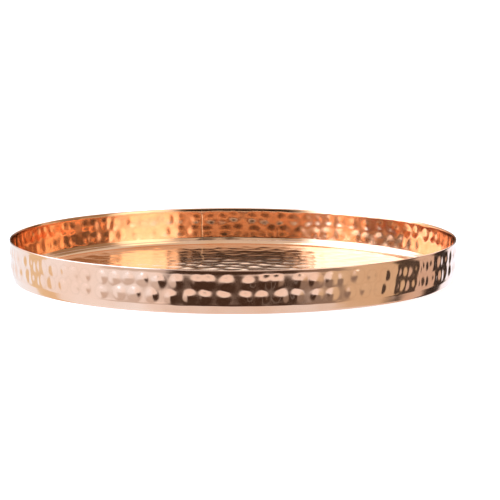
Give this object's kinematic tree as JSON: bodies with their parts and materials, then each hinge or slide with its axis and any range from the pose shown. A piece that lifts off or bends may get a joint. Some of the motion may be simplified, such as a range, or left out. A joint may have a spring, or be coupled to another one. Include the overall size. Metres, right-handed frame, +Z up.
{
  "type": "tray",
  "caption": "Round hammered copper tray: a shallow flat-floored serving tray with an upright wall, two rows of round bosses and a smooth bevel at its foot.",
  "frame": {"origin": "centre of the plane that the tray stands on, under the middle of the floor", "axes": "+Z straight up along the tray's axis; +X to the right and +Y away from a person who faces the tray"},
  "size_m": [0.2794, 0.2794, 0.0254],
  "materials": {
    "copper_wall": "polished copper, raised bosses and a smooth bevel",
    "copper_floor": "polished copper, planished all over with shallow hammer marks",
    "braze": "brazing alloy, filed flush and polished with the wall",
    "solder": "soft solder, tinned over with a copper flush, satin"
  },
  "bodies": {
    "root": {"wall_hoop": "copper_wall", "floor_pan": "copper_floor", "hoop_seam_braze": "braze", "floor_solder_ring": "solder"}
  },
  "joints": []
}
